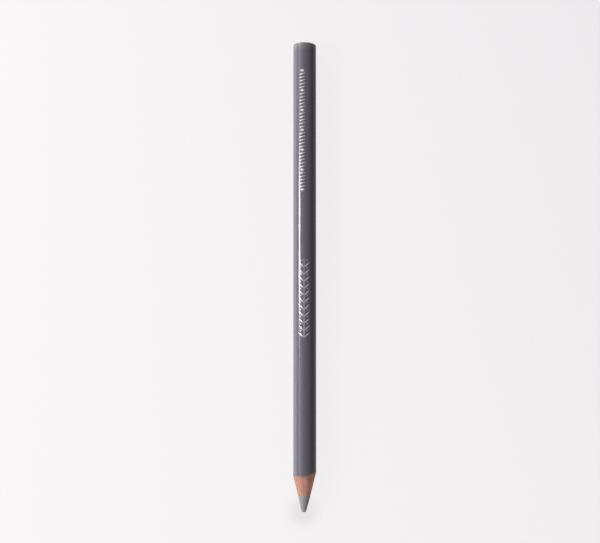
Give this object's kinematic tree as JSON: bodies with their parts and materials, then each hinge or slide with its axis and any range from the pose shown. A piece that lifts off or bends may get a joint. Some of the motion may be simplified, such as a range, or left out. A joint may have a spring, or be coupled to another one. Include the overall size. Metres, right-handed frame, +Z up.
{
  "type": "pastel pencil",
  "caption": "Round wood-cased pastel pencil with a thick dry core, gloss lacquered barrel, dipped rounded end and a short blunt sharpened taper.",
  "frame": {"origin": "on the surface that the pencil lies on, under the middle of its bounding box", "axes": "+Y along the pencil, from the tip towards the lacquered end; +Z up; the joint between the two slats stands upright, in a plane across X"},
  "size_m": [0.0086, 0.175, 0.0086],
  "materials": {
    "cedar": "matte",
    "pastel": "matte",
    "glue": "matte",
    "lacquer": "gloss"
  },
  "bodies": {
    "root": {"casing_slat_left": "cedar", "casing_slat_right": "cedar", "pastel_core": "pastel", "slat_glue_upper": "glue", "slat_glue_lower": "glue", "core_glue": "glue", "barrel_lacquer": "lacquer", "end_coat": "lacquer"}
  },
  "joints": []
}
